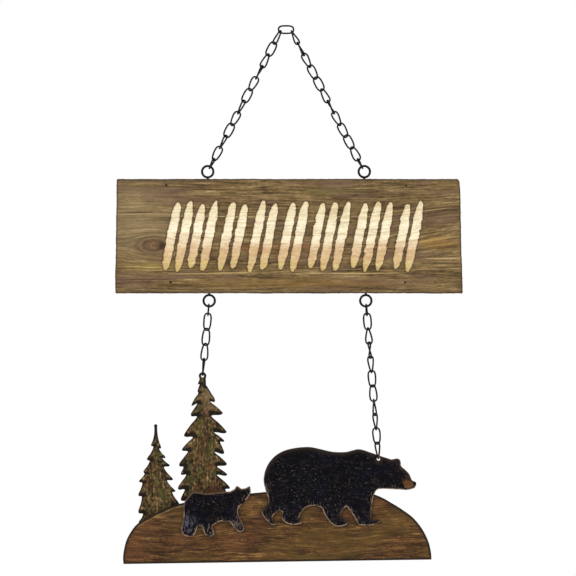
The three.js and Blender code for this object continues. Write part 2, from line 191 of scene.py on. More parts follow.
def noise(x, z, seed):
    """Smooth noise from 0 to 1: the four lattice numbers round a point, mixed by the curve 3t^2 - 2t^3."""
    ix, iz = np.floor(x).astype(np.int64), np.floor(z).astype(np.int64)
    fx, fz = x - ix, z - iz
    fx, fz = fx * fx * (3 - 2 * fx), fz * fz * (3 - 2 * fz)
    low = lattice(ix, iz, seed) * (1 - fx) + lattice(ix + 1, iz, seed) * fx
    high = lattice(ix, iz + 1, seed) * (1 - fx) + lattice(ix + 1, iz + 1, seed) * fx
    return low * (1 - fz) + high * fz


def ease(value, low, high):
    """0 below low, 1 above high, and 3t^2 - 2t^3 between them."""
    t = np.clip((value - low) / (high - low), 0, 1)
    return t * t * (3 - 2 * t)


def rounded(distance, radius):
    """How far a rounded edge falls back, at a distance in from the rim: a quarter circle of the radius."""
    inward = np.clip(radius - distance, 0, radius)
    return radius - np.sqrt(radius**2 - inward**2)


def unit_rows(vectors):
    """Each row divided by its length."""
    return vectors / np.maximum(np.linalg.norm(vectors, axis=1), 1e-9)[:, None]


def divided(lengths, step):
    """Lengths cut evenly into parts up to the step: each part's length number and start, from 0 to 1."""
    counts = np.maximum(np.ceil(lengths / step).astype(int), 1)
    index = np.repeat(np.arange(len(counts)), counts)
    first = np.repeat(np.cumsum(counts) - counts, counts)
    return index, (np.arange(len(index)) - first) / counts[index]


def grain_flow(x, z, knots):
    """The grain's across coordinate, which parts round knots like a stream round a stone.

    Far from a knot it is z. Near one it is z - dz r^2 / d^2, where dz is the height over the knot and d the
    distance from it with x shortened by its stretch. Inside the knot it stays at the knot's own height."""
    across = np.array(z, dtype=float)
    for knot_x, knot_z, radius, stretch in knots:
        dz = z - knot_z
        d = np.maximum(np.hypot((x - knot_x) / stretch, dz), 0.05)
        across = across - dz * np.minimum(radius**2 / d**2, 1)
    return across


def knot_depth(x, z, knots):
    """How deep in a knot a point lies: 0 at its edge, 1 at its middle and falling below 0 outside it."""
    return np.max([1 - np.hypot((x - knot_x) / stretch, z - knot_z) / radius
                   for knot_x, knot_z, radius, stretch in knots], axis=0)


# Flat sheets cut to an outline

def outline_rings(node):
    """The rings round a cut-out where its straight wall begins at the front, X by Z in millimetres.

    A wall triangle's normal has no part along Y. The sides of such triangles that lie at the wall's front
    level, followed from end to end, are the rings. The outer one runs anticlockwise and holes clockwise."""
    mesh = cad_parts[node].data
    mesh.calc_loop_triangles()
    corners = np.empty(len(mesh.loop_triangles) * 3, dtype=np.int32)
    mesh.loop_triangles.foreach_get("vertices", corners)
    flat = np.empty(len(mesh.vertices) * 3)
    mesh.vertices.foreach_get("co", flat)
    keys, same = np.unique(np.round(flat.reshape(-1, 3) / MM, 2), axis=0, return_inverse=True)
    corners = same.ravel()[corners].reshape(-1, 3)
    a, b, c = (keys[corners[:, i]] for i in range(3))
    normal = np.cross(b - a, c - a)
    wall = corners[np.abs(normal[:, 1]) < 0.02 * np.linalg.norm(normal, axis=1)]
    levels, counts = np.unique(keys[wall.ravel(), 1], return_counts=True)
    wall_levels = levels[np.argsort(counts)[-2:]]
    wall = wall[np.isin(keys[wall, 1], wall_levels).all(axis=1)]
    sides = np.vstack([wall[:, [0, 1]], wall[:, [1, 2]], wall[:, [2, 0]]])
    sides = sides[(np.abs(keys[sides, 1] - wall_levels.min()) < 0.03).all(axis=1)]
    following = dict(sides.tolist())
    rings = []
    while following:
        start = here = next(iter(following))
        ring = []
        while here in following:
            ring.append(here)
            here = following.pop(here)
        if here == start:
            rings.append(keys[ring][:, [0, 2]])
    rings.sort(key=lambda ring: -abs(signed_area(ring)))
    return [ring if (signed_area(ring) > 0) == (i == 0) else ring[::-1] for i, ring in enumerate(rings)]


def signed_area(ring):
    """Half the sum of each side's cross product, positive if the ring runs anticlockwise."""
    after = np.roll(ring, -1, axis=0)
    return 0.5 * np.sum(ring[:, 0] * after[:, 1] - after[:, 0] * ring[:, 1])


def turns(ring):
    """Each side's length and direction, the direction before it, and the turn to the left between them."""
    side = np.roll(ring, -1, axis=0) - ring
    length = np.linalg.norm(side, axis=1)
    unit = side / length[:, None]
    before = np.roll(unit, 1, axis=0)
    cross = before[:, 0] * unit[:, 1] - before[:, 1] * unit[:, 0]
    return length, unit, before, np.degrees(np.arctan2(cross, (before * unit).sum(axis=1)))


def blunt_ring(ring, corner, reach):
    """The ring with a small bow of three points in place of each that turns by more than corner degrees.

    The outer two lie on its sides, the reach away from it or a third of the shorter side if that is less. The
    middle one is halfway between the point and the middle of the other two."""
    length, unit, before, turn = turns(ring)
    cut = np.minimum(reach, np.minimum(length, np.roll(length, 1)) / 3)[:, None]
    first, last = ring - before * cut, ring + unit * cut
    sharp = np.abs(turn) > corner
    middle = np.where(sharp[:, None], (first + last) / 4 + ring / 2, ring)
    bows = np.stack([first, middle, last], axis=1)
    return bows[np.column_stack([sharp, np.ones(len(ring), dtype=bool), sharp])]


def smooth_ring(ring, corner, step):
    """The ring as cubic curves through its points, kept sharp where it turns by more than corner degrees.

    Each side is a Hermite curve. At a smooth point its tangent is along the mean of both sides' directions,
    and at a corner along the side itself."""
    length, unit, before, turn = turns(ring)
    mean = unit_rows(before + unit)
    sharp = (np.abs(turn) > corner)[:, None]
    leave = np.where(sharp, unit, mean) * length[:, None]
    arrive = np.where(np.roll(sharp, -1, axis=0), unit, np.roll(mean, -1, axis=0)) * length[:, None]
    index, t = divided(length, step)
    t = t[:, None]
    after = np.roll(ring, -1, axis=0)
    return ((2 * t**3 - 3 * t**2 + 1) * ring[index] + (t**3 - 2 * t**2 + t) * leave[index]
            + (3 * t**2 - 2 * t**3) * after[index] + (t**3 - t**2) * arrive[index])


def ring_sides(rings):
    """The sides of the rings as pairs of point numbers, ring after ring."""
    pairs, first = [], 0
    for ring in rings:
        here = np.arange(len(ring)) + first
        pairs.append(np.column_stack([here, np.roll(here, -1)]))
        first += len(ring)
    return np.vstack(pairs)


def measure_to_rings(points, rings):
    """Each point's distance to the nearest side of the rings, whether it is inside, and how far that side
    faces up, from -1 to 1. Inside is an odd number of sides crossed on the way to the right."""
    starts = np.vstack(rings).astype(np.float32)
    ends = np.vstack([np.roll(ring, -1, axis=0) for ring in rings]).astype(np.float32)
    side = ends - starts
    square = np.maximum((side**2).sum(axis=1), 1e-9)
    facing = -side[:, 0] / np.sqrt(square)
    slope = side[:, 0] / np.where(side[:, 1] == 0, 1e-9, side[:, 1])
    distance, inside, up = [], [], []
    for block in np.array_split(points.astype(np.float32), max(1, len(points) // 400)):
        x = block[:, 0, None] - starts[:, 0]
        z = block[:, 1, None] - starts[:, 1]
        t = np.clip((x * side[:, 0] + z * side[:, 1]) / square, 0, 1)
        away = (x - t * side[:, 0]) ** 2 + (z - t * side[:, 1]) ** 2
        nearest = away.argmin(axis=1)
        distance.append(np.sqrt(away[np.arange(len(block)), nearest]))
        up.append(facing[nearest])
        spans = (z < 0) != (block[:, 1, None] < ends[:, 1])
        inside.append((spans & (z * slope > x)).sum(axis=1) % 2 == 1)
    return np.concatenate(distance), np.concatenate(inside), np.concatenate(up)


def filled_sheet(rings, spacing, insets):
    """Points and triangles of a flat sheet inside its rings.

    The rings, copies of them moved in by each inset and a staggered grid of the spacing are joined by a
    Delaunay triangulation, and those with their middle outside are dropped. The rings' points come first."""
    rim = np.vstack(rings)
    parts = [rim]
    for inset in insets:
        for ring in rings:
            along = unit_rows(np.roll(ring, -1, axis=0) - np.roll(ring, 1, axis=0))
            moved = ring + inset * np.column_stack([-along[:, 1], along[:, 0]])
            moved = moved[::max(1, int(inset / 0.6))]
            away, inside, _ = measure_to_rings(moved, rings)
            parts.append(moved[inside & (away > 0.86 * inset)])
    low, high = rim.min(axis=0), rim.max(axis=0)
    rows = np.arange(low[1], high[1], spacing * 0.87)
    grid_x, grid_z = np.meshgrid(np.arange(low[0], high[0], spacing), rows)
    grid_x = grid_x + spacing * 0.5 * (np.arange(len(rows))[:, None] % 2)
    grid = np.column_stack([grid_x.ravel(), grid_z.ravel()])
    away, inside, _ = measure_to_rings(grid, rings)
    parts.append(grid[inside & (away > max(insets) + 0.5 * spacing)])
    made = delaunay_2d_cdt(np.vstack(parts).tolist(), ring_sides(rings).tolist(), [], 0, 1e-5, False)
    placed = np.array([tuple(point) for point in made[0]])
    triangles = np.array(made[2])
    # A triangle with a corner off the rings lies inside, as no triangle crosses a ring
    kept = (triangles >= len(rim)).any(axis=1)
    _, inside, _ = measure_to_rings(placed[triangles[~kept]].mean(axis=1), rings)
    kept[~kept] = inside
    return placed, triangles[kept]


def cut_out(name, node, slot, material, corner, reach, step, spacing, edge, relief):
    """A cut-out of the node's outline and thickness: a front with relief, walls and a plainer back.

    Both sheets fall back along a quarter circle at the rim. The relief gives a depth from X, Z, the distance
    to the rim and how far the rim faces up. The solid's outline comes back with the piece."""
    rings = outline_rings(node)
    outline = rings[0]
    if reach:
        rings[0] = blunt_ring(outline, corner, reach)
        corner = BOW_CORNER
    rings = [smooth_ring(ring, corner if i == 0 else 90, step) for i, ring in enumerate(rings)]
    rings[1:] = [ring.mean(axis=0) + HOLE_SHARE * (ring - ring.mean(axis=0)) for ring in rings[1:]]
    rim_count = sum(len(ring) for ring in rings)
    insets = [edge * 0.12, edge * 0.4, edge, edge + 0.7, edge + 1.6]
    low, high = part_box(node)
    sheets = []
    for start, sign, gap, inward in ((low.y, 1, spacing, insets), (high.y, -1, 4 * spacing, insets[1:3])):
        flat, faces = filled_sheet(rings, gap, inward)
        away, _, up = measure_to_rings(flat, rings)
        away[:rim_count] = 0
        depth = rounded(away, edge)
        if sign > 0:
            depth = depth + relief(flat[:, 0], flat[:, 1], away, up)
        points = np.column_stack([flat[:, 0], start / MM + sign * depth, flat[:, 1]])
        sheets.append((points, faces, away, up))
    (front, front_faces, front_away, front_up), (back, back_faces, back_away, back_up) = sheets
    walls = [front[:rim_count] * (1 - level) + back[:rim_count] * level for level in (0.25, 0.5, 0.75)]
    points, faces = closed_body(front, front_faces.tolist(), np.arange(rim_count), ring_sides(rings),
                                walls, back, back_faces)
    piece = add_piece(name, node, points, faces, material)
    wall_up = np.tile(front_up[:rim_count], len(walls))
    point_values(piece, rim=np.concatenate([front_away, 0 * wall_up, back_away]),
                 up=np.concatenate([front_up, wall_up, back_up]), front=np.arange(len(points)) < len(front))
    return piece, points, outline


# Material helpers: those that take a value or a vector work in its own node tree

def give(node, inputs):
    """Gives a node its inputs, as values or as other nodes' outputs."""
    for name, value in inputs.items():
        if isinstance(value, bpy.types.NodeSocket):
            node.id_data.links.new(value, node.inputs[name])
        else:
            node.inputs[name].default_value = value


def add_node(tree, kind, inputs=None, **settings):
    """A new node with its settings and its inputs."""
    made = tree.nodes.new(kind)
    for name, value in settings.items():
        setattr(made, name, value)
    give(made, inputs or {})
    return made


def calculate(operation, a, b=0.0):
    """A Math node on a value and another value or number."""
    return add_node(a.id_data, "ShaderNodeMath", {0: a, 1: b}, operation=operation).outputs[0]


def times(a, b):
    return calculate("MULTIPLY", a, b)


def plus(total, *terms):
    """A value or number and pairs of value and weight, added up."""
    for value, weight in terms:
        inputs = {0: value, 1: weight, 2: total}
        total = add_node(value.id_data, "ShaderNodeMath", inputs, operation="MULTIPLY_ADD").outputs[0]
    return total


def span(value, low, high, to_low=0.0, to_high=1.0):
    """The value from low to high taken smoothly to the other range."""
    inputs = {"Value": value, "From Min": low, "From Max": high, "To Min": to_low, "To Max": to_high}
    return add_node(value.id_data, "ShaderNodeMapRange", inputs, interpolation_type="SMOOTHSTEP").outputs[0]


def linear(colour):
    """An sRGB triple from 0 to 255 as linear colour with full alpha."""
    share = np.asarray(colour) / 255.0
    light = np.where(share <= 0.04045, share / 12.92, ((share + 0.055) / 1.055) ** 2.4)
    return (*light.tolist(), 1.0)


def ramp(factor, *stops):
    """Colours along a factor, as pairs of position and sRGB triple."""
    made = add_node(factor.id_data, "ShaderNodeValToRGB", {0: factor})
    elements = made.color_ramp.elements
    while len(elements) < len(stops):
        elements.new(0.5)
    for element, (position, colour) in zip(elements, stops):
        element.position = position
        element.color = linear(colour)
    return made.outputs[0]


def laid(under, colour, mask, strength=None):
    """A colour, or an sRGB triple, laid over another where the mask says, at a strength."""
    over = linear(colour) if isinstance(colour, tuple) else colour
    mask = mask if strength is None else times(mask, strength)
    return add_node(mask.id_data, "ShaderNodeMix", {0: mask, 6: under, 7: over}, data_type="RGBA").outputs[2]


def stained(under, value, *rows):
    """Colours laid over another along a value, by rows of low, high, strength and colour."""
    for low, high, strength, colour in rows:
        under = laid(under, colour, span(value, low, high, 0.0, strength))
    return under


def scaled(vector, scale, shift=(0, 0, 0)):
    """A vector times a scale, then moved."""
    inputs = {"Vector": vector, "Location": shift, "Scale": scale}
    return add_node(vector.id_data, "ShaderNodeMapping", inputs).outputs[0]


def noise_value(vector, scale, detail=3.0, roughness=0.55, distortion=0.0, shift=(0, 0, 0)):
    """Noise on a scaled and moved vector."""
    inputs = {"Vector": scaled(vector, scale, shift), "Scale": 1.0, "Detail": detail}
    inputs.update({"Roughness": roughness, "Distortion": distortion})
    return add_node(vector.id_data, "ShaderNodeTexNoise", inputs).outputs[0]


def attribute(tree, name):
    """A number that point_values stored."""
    return add_node(tree, "ShaderNodeAttribute", attribute_name=name).outputs["Fac"]


def new_group(name, inputs, outputs):
    """An empty node group of vectors in and values out: its input node's sockets and its output node."""
    tree = bpy.data.node_groups.new(name, "ShaderNodeTree")
    for label in inputs:
        tree.interface.new_socket(name=label, in_out="INPUT", socket_type="NodeSocketVector")
    for label in outputs:
        tree.interface.new_socket(name=label, in_out="OUTPUT", socket_type="NodeSocketFloat")
    return tree.nodes.new("NodeGroupInput").outputs, tree.nodes.new("NodeGroupOutput")


def place_group(group, inputs):
    """A node group placed where its inputs come from."""
    return add_node(inputs["Vector"].id_data, "ShaderNodeGroup", inputs, node_tree=group).outputs


def new_material(name):
    """A material with an empty tree but for its Principled BSDF: itself, its tree and Object coordinates."""
    material = bpy.data.materials.new(name)
    material.use_nodes = True
    tree = material.node_tree
    return material, tree, add_node(tree, "ShaderNodeTexCoord").outputs["Object"]


def finish(material, colour, gloss, roughness, relief, depth, specular=0.5):
    """Sets the shader: roughness follows the gloss value over its range, and bump has a depth in metres."""
    normal = add_node(material.node_tree, "ShaderNodeBump", {"Height": relief, "Distance": depth}).outputs[0]
    give(material.node_tree.nodes["Principled BSDF"], {
        "Base Color": colour,
        "Roughness": span(gloss, 0.3, 0.7, *roughness),
        "Specular IOR Level": specular,
        "Normal": normal,
    })
    return material


# Shared effects

def wood_grain_group():
    """Grain along the first coordinate: bands, streaks and fine fibres, each from noise squeezed across.

    Tone mixes the three for a colour ramp, with a blotchy wash over them."""
    start, end = new_group("wood grain", ["Vector"], ["Tone", "Bands", "Streaks", "Fibres", "Pores"])
    vector = start["Vector"]
    bands = noise_value(vector, (8, 95, 1), 2)
    streaks = noise_value(vector, (30, 560, 1), 4, 0.62, 0.3)
    fibres = noise_value(vector, (190, 1500, 1), 3, 0.65)
    wash = noise_value(vector, (55, 150, 1), 3, 0.6)
    pores = noise_value(vector, (110, 1150, 1), 2, 0.6, shift=(3, 7, 0))
    give(end, {
        "Tone": plus(0.0, (streaks, 0.4), (fibres, 0.25), (bands, 0.2), (wash, 0.15)),
        "Bands": bands,
        "Streaks": streaks,
        "Fibres": fibres,
        "Pores": span(pores, 0.58, 0.68),
    })
    return end.id_data


def soft_spot_group():
    """A mask that is 1 at a centre and fades to 0 at an ellipse round it."""
    start, end = new_group("soft spot", ["Vector", "Centre", "Inverse Radii"], ["Mask"])

    def on_vectors(operation, *vectors):
        inputs = dict(enumerate(vectors))
        return add_node(end.id_data, "ShaderNodeVectorMath", inputs, operation=operation).outputs

    away = on_vectors("SUBTRACT", start["Vector"], start["Centre"])[0]
    ratio = on_vectors("MULTIPLY", away, start["Inverse Radii"])[0]
    give(end, {"Mask": span(on_vectors("LENGTH", ratio)["Value"], 1.0, 0.0)})
    return end.id_data


WOOD_GRAIN = wood_grain_group()
SOFT_SPOT = soft_spot_group()


def spot(vector, x, z, radius_x, radius_z, up=2):
    """The soft spot's mask at a place in millimetres, on Object coordinates or, for up 1, on the grain's."""
    centre, inverse = [x * MM, 0, 0], [1 / (radius_x * MM), 0, 0]
    centre[up], inverse[up] = z * MM, 1 / (radius_z * MM)
    return place_group(SOFT_SPOT, {"Vector": vector, "Centre": centre, "Inverse Radii": inverse})["Mask"]


def spotted(under, vector, rows, up=2, wear=None):
    """Soft spots laid over a colour, by rows of X, Z, radius X, radius Z, colour and strength.

    The wear is a value that each mask is multiplied by and that never takes it over 1."""
    for x, z, radius_x, radius_z, colour, strength in rows:
        mask = spot(vector, x, z, radius_x, radius_z, up)
        if wear is not None:
            mask = calculate("MINIMUM", times(mask, wear), 1.0)
        under = laid(under, colour, mask, strength)
    return under


# Board

def board_grain(x, z):
    """The grain's across coordinate on the board, which parts round the knots.

    Towards the right end it rises, most at 13 mm above the middle, by a parabola that ends 37 mm above and
    below that."""
    rise = GRAIN_RISE * ease(x, 80, 180) * np.maximum(1 - ((z - 13) / 37) ** 2, 0)
    return grain_flow(x, z, BOARD_KNOTS) - rise


def stroke_places():
    """The middle of each stroke along the row, from the board's middle."""
    places, x = [], 0.0
    for count in STROKE_GROUPS:
        places += [x + STROKE_PITCH * i for i in range(count)]
        x += STROKE_PITCH * count + STROKE_GROUP_GAP
    return np.array(places) - places[-1] / 2 + STROKE_ROW_SHIFT


def stroke_distance(x, z):
    """How far inside a stroke each point lies, in millimetres, negative outside.

    A stroke is the set where (2 x' / width)^2 + (2 z / height)^4 is under 1, and x' is measured from its
    leaning middle line. The distance is that excess over the length of its gradient."""
    best = np.full(x.shape, FAR_OUTSIDE)
    for i, middle in enumerate(stroke_places()):
        height = STROKE_HEIGHT * (1 + 0.05 * math.sin(2.3 * i))
        across = (x - middle - z * STROKE_LEAN) / (STROKE_WIDTH / 2)
        along = z / (height / 2)
        slope = np.hypot(2 * across / (STROKE_WIDTH / 2), 4 * np.abs(along) ** 3 / (height / 2))
        best = np.maximum(best, (1 - across**2 - along**4) / np.maximum(slope, 0.15))
    return best


def filled_stations(marks, end, coarse):
    """Rising stations from one end to the other through the marks, with the wider spaces divided evenly."""
    marks = np.unique(np.concatenate([[-end, end], marks[np.abs(marks) < end]]))
    marks = marks[np.concatenate([[True], np.diff(marks) > 0.1])]
    marks[-1] = end
    spaces = np.diff(marks)
    index, t = divided(spaces, coarse)
    return np.append(marks[index] + t * spaces[index], end)


def board_front_depth(x, z, rim):
    """The depth of the board's front, and how far inside a stroke each point lies.

    The depth adds up eased edges, grain ridges, strokes cut in, a groove round each knot and pits."""
    across = board_grain(x, z)
    in_knot = knot_depth(x, z, BOARD_KNOTS)
    depth = rounded(rim + 0.5 * (noise(x / 7, z / 7, 3) - 0.5) * (rim > 0), BOARD_ROUND)
    depth += 0.16 * noise(x / 55, across / 2.6, 11) + 0.12 * noise(x / 24, across / 1.3, 12)
    depth += 0.1 * noise(x / 6, across / 0.9, 13)
    ragged = 0.9 * (noise(x / 1.4, z / 1.1, 21) - 0.5) + 1.3 * (noise(x / 3.6, z / 4.5, 23) - 0.5)
    inside = stroke_distance(x, z) + ragged
    depth += (STROKE_DEPTH - 0.25 + 0.25 * noise(x / 2.5, z / 0.9, 22)) * ease(inside, -0.3, 0.45)
    depth += 0.35 * ease(in_knot, 0.0, 0.25) * (1 - ease(in_knot, 0.3, 0.6))
    for pit_x, pit_z, radius in BOARD_PITS:
        depth += PIT_DEPTH * ease(-np.hypot(x - pit_x, z - pit_z), -radius, -0.35 * radius)
    return depth, inside


def board_front_grid():
    """X, Z and rim distance of the board's front, as a grid with its columns close at the strokes' edges.

    The columns lean with the strokes. Each corner's far part is drawn in to a circle, both ends and edges are
    worn by noise, and the ends taper towards the top."""
    half_x, half_z = BOARD_LENGTH / 2, BOARD_HEIGHT / 2
    rim_marks = np.array([0.12, 0.35, 0.7, 1.15, 1.7, 2.6])
    edge_marks = STROKE_WIDTH / 2 + np.array([-1.3, -0.8, -0.45, -0.2, 0.0, 0.2, 0.5])
    middles = stroke_places()[:, None]
    marks = [middles - edge_marks, middles + edge_marks, rim_marks - half_x, half_x - rim_marks]
    columns = filled_stations(np.concatenate([part.ravel() for part in marks]), half_x, 1.2)
    tip_marks = np.arange(30.5, 37, 0.5)
    marks = [rim_marks - half_z, half_z - rim_marks, tip_marks, -tip_marks]
    x, z = np.meshgrid(columns, filled_stations(np.concatenate(marks), half_z, 0.9))
    rim = np.minimum(half_x - np.abs(x), half_z - np.abs(z))
    lean = z * STROKE_LEAN * (1 - ease(np.abs(x - STROKE_ROW_SHIFT), 130, 172))
    x = x + lean * (1 - ease(np.abs(x), half_x - 3, half_x))
    radius = np.where((x > 0) & (z > 0), *BOARD_CORNERS)
    over_x = np.maximum(np.abs(x) - (half_x - radius), 0)
    over_z = np.maximum(np.abs(z) - (half_z - radius), 0)
    drawn = 1 - np.maximum(over_x, over_z) / np.maximum(np.hypot(over_x, over_z), 1e-9)
    drawn = np.where((over_x > 0) & (over_z > 0), drawn, 0)
    x = x - np.sign(x) * over_x * drawn
    z = z - np.sign(z) * over_z * drawn
    worn_x = 0.4 * noise(z / 9, np.sign(x) * 5, 31) + 0.3 * noise(z / 2.2, np.sign(x) * 5, 32)
    worn_z = 0.3 * noise(x / 16, np.sign(z) * 5, 33) + 0.3 * noise(x / 3.1, np.sign(z) * 5, 34)
    x = x - np.sign(x) * worn_x * ease(np.abs(x), half_x - WORN_REACH, half_x)
    z = z - np.sign(z) * worn_z * ease(np.abs(z), half_z - WORN_REACH, half_z)
    taper = np.where(x > 0, BOARD_TAPER[1], -BOARD_TAPER[0]) * (z / half_z + 1) / 2
    return x - taper * ease(np.abs(x), 130, half_x), z, rim


def make_board(material):
    """The plank: a fine front sheet, walls with saw marks and a plainer back sheet."""
    half_x, half_z = BOARD_LENGTH / 2, BOARD_HEIGHT / 2
    x, z, rim = board_front_grid()
    depth, inside = board_front_depth(x, z, rim)
    front = np.column_stack([x.ravel(), depth.ravel() - BOARD_THICKNESS / 2, z.ravel()])
    number = np.arange(x.size).reshape(x.shape)
    loop = np.concatenate([number[0, :-1], number[:-1, -1], number[-1, :0:-1], number[:0:-1, 0]])
    edge = front[loop]
    ring = edge[:, [0, 2]]
    walls = []
    for i, level in enumerate((0.15, 0.35, 0.55, 0.75, 0.92)):
        y = edge[:, 1] * (1 - level) + (BOARD_THICKNESS / 2 - BACK_ROUND) * level
        inward = SAW_MARKS * noise(edge[:, 0] / 2 + edge[:, 2] / 2, i * 1.7, 41)
        wall_x, wall_z = edge[:, 0] * (1 - inward / half_x), edge[:, 2] * (1 - inward / half_z)
        walls.append(np.column_stack([wall_x, y, wall_z]))
    back, back_faces = filled_sheet([ring], 3.0, [0.2, 0.6, 1.2])
    away, _, _ = measure_to_rings(back, [ring])
    away[:len(loop)] = 0
    ridges = 0.2 * noise(back[:, 0] / 40, board_grain(back[:, 0], back[:, 1]) / 3, 51) * ease(away, 0, 3)
    back_y = BOARD_THICKNESS / 2 - rounded(away, BACK_ROUND) - ridges
    back = np.column_stack([back[:, 0], back_y, back[:, 1]])
    points, faces = closed_body(front, grid_faces(number), loop, ring_sides([ring]), walls, back, back_faces)
    middle = np.array([BOARD_MIDDLE[0], 0, BOARD_MIDDLE[1]])
    piece = add_piece("board_plank", "board", points + middle, faces, material)
    wall_zeros = np.zeros(len(loop) * len(walls))
    point_values(piece, paint=np.append(inside.ravel(), np.full(len(points) - len(front), FAR_OUTSIDE)),
                 rim=np.concatenate([rim.ravel(), wall_zeros, away]),
                 knot=knot_depth(points[:, 0], points[:, 2], BOARD_KNOTS[:1]))
    on_edge = points[:, 1] * (np.abs(points[:, 2]) > half_z - 3)
    grain_map(piece, points[:, 0], board_grain(points[:, 0], points[:, 2]) + on_edge)


def make_plank_material():
    """Weathered plank: grain in greyed olive brown, tinted by place, with cream painted strokes."""
    material, tree, place = new_material("weathered plank")
    grain_uv = add_node(tree, "ShaderNodeUVMap", uv_map="grain").outputs[0]
    centred = scaled(place, (1, 1, 1), (-BOARD_MIDDLE[0] * MM, 0, -BOARD_MIDDLE[1] * MM))
    grain = place_group(WOOD_GRAIN, {"Vector": grain_uv})
    wood = ramp(grain["Tone"], (0.41, (52, 38, 22)), (0.46, (84, 66, 40)), (0.51, (113, 91, 57)),
                (0.56, (137, 114, 75)), (0.62, (178, 152, 108)))
    wood = laid(wood, (62, 48, 32), grain["Pores"], 0.45)
    purple = noise_value(grain_uv, (14, 60, 1), 2, shift=(5, 2, 0))
    wood = stained(wood, purple, (0.5, 0.64, 0.5, (108, 84, 68)))
    wood = spotted(wood, centred, (
        (-152, 14, 58, 60, (152, 133, 98), 0.42),
        (-34, -11.8, 34, 6.0, (136, 88, 50), 0.6),
        (12, -10.6, 34, 5.5, (136, 88, 50), 0.5),
        (148, -7, 34, 9, (160, 120, 62), 0.5),
        (36, 44.5, 46, 4, (108, 106, 52), 0.5),
        (-60, 36, 80, 5, (118, 88, 66), 0.35),
        (0, -47, 170, 7, (132, 98, 46), 0.45),
        (-134, -30, 50, 5, (146, 124, 60), 0.55),
        (130, 22, 40, 12, (98, 76, 58), 0.3),
    ))
    fray = noise_value(grain_uv, (70, 520, 1), 3, 0.6, shift=(2, 4, 0))
    # Streaks, with along and across as the grain runs in place of X and Z
    wood = spotted(wood, grain_uv, (
        (-148, 22, 30, 1.0, (66, 46, 26), 0.8),
        (-120, 18.2, 60, 0.7, (178, 152, 108), 0.5),
        (-142, 20.1, 46, 0.7, (174, 148, 102), 0.7),
        (-60, 18.8, 70, 0.9, (180, 156, 112), 0.75),
        (60, 19.2, 60, 0.8, (180, 152, 108), 0.65),
        (-142, 3.0, 34, 0.8, (170, 146, 104), 0.6),
        (-150, 5.6, 26, 0.7, (78, 58, 36), 0.6),
        (-140, -5.0, 34, 0.8, (166, 142, 100), 0.5),
        (-142, -28.2, 30, 0.9, (190, 166, 104), 0.7),
        (-130, -31.5, 40, 0.9, (176, 150, 86), 0.6),
        (-70, -36.0, 70, 0.8, (184, 158, 100), 0.65),
        (50, -37.0, 80, 0.9, (186, 160, 106), 0.75),
        (-138, -41.6, 38, 0.9, (70, 50, 28), 0.75),
        (154, -23.4, 26, 0.55, (186, 158, 108), 0.75),
        (140, -10.6, 36, 1.5, (178, 146, 84), 0.6),
        (142, 18.6, 40, 0.8, (176, 148, 104), 0.7),
        (150, -13.8, 28, 0.8, (92, 66, 38), 0.55),
        (-138, -0.6, 30, 0.8, (84, 60, 38), 0.55),
        (-136, -19.0, 34, 0.8, (86, 62, 38), 0.5),
        (-30, -9.0, 30, 0.7, (88, 48, 24), 0.6),
        (120, -34, 50, 0.8, (172, 142, 92), 0.5),
    ), 1, span(fray, 0.36, 0.56, 0.5, 2.2))
    rough = noise_value(centred, (190, 190, 330), 4, 0.65)
    ring = plus(-0.35, (attribute(tree, "knot"), 1.0), (rough, 0.7))
    wood = stained(wood, ring, (-0.3, -0.1, 0.3, (76, 56, 36)), (-0.06, 0.04, 0.6, (150, 126, 94)),
                   (0.08, 0.24, 0.8, (86, 63, 40)), (0.35, 0.8, 0.75, (130, 104, 70)))
    years = calculate("SINE", times(ring, 24.0))
    years = times(span(years, 0.1, 0.9, 0.0, 0.6), span(ring, -0.5, 0.1))
    wood = laid(wood, (72, 52, 34), years)
    x, z, radius, _ = BOARD_KNOTS[0]
    core = (x + 0.95 * radius, z - 0.05 * radius, 1.1 * radius, 0.85 * radius, (44, 30, 20), 0.85)
    wood = spotted(wood, centred, [core])
    pits = [(x, z, 1.7 * radius, 1.7 * radius, (40, 30, 21), 0.85) for x, z, radius in BOARD_PITS]
    wood = spotted(wood, centred, pits, wear=2.0)
    worn = plus(attribute(tree, "rim"), (grain["Streaks"], 1.2))
    wood = stained(wood, worn, (2.9, 1.1, 0.75, (58, 46, 32)))
    inside = attribute(tree, "paint")
    # Painted shadow: a dark brown band just outside each stroke stands for the shade at the rim of its
    # recess.
    wood = stained(wood, inside, (-1.9, -0.2, 0.5, (62, 45, 28)))
    height = add_node(tree, "ShaderNodeSeparateXYZ", {0: centred}).outputs[2]
    inputs = {"Value": height, "From Min": -0.036, "From Max": 0.036}
    level = add_node(tree, "ShaderNodeMapRange", inputs).outputs[0]
    level = plus(-0.15, (level, 1.0), (grain["Bands"], 0.3))
    paint = ramp(level, (0.0, (188, 168, 100)), (0.1, (204, 184, 118)), (0.18, (208, 180, 130)),
                 (0.27, (208, 178, 136)), (0.36, (222, 198, 160)), (0.48, (236, 224, 192)),
                 (0.64, (240, 230, 200)), (0.82, (230, 218, 180)), (1.0, (220, 202, 160)))
    paint = stained(paint, grain["Tone"], (0.54, 0.43, 0.6, (186, 154, 108)))
    paint = laid(paint, (184, 142, 106), times(span(fray, 0.48, 0.6), span(level, 0.52, 0.36, 0.0, 0.55)))
    dabs = noise_value(place, (300, 300, 420), 3, 0.6)
    paint = stained(paint, dabs, (0.52, 0.72, 0.25, (252, 248, 232)))
    colour = laid(wood, paint, span(plus(inside, (grain["Fibres"], 0.5)), 0.05, 0.6))
    relief = plus(0.0, (grain["Streaks"], 0.6), (grain["Fibres"], 0.4))
    return finish(material, colour, grain["Streaks"], (0.62, 0.86), relief, 0.0006, 0.16)


# Hill, pines and bears

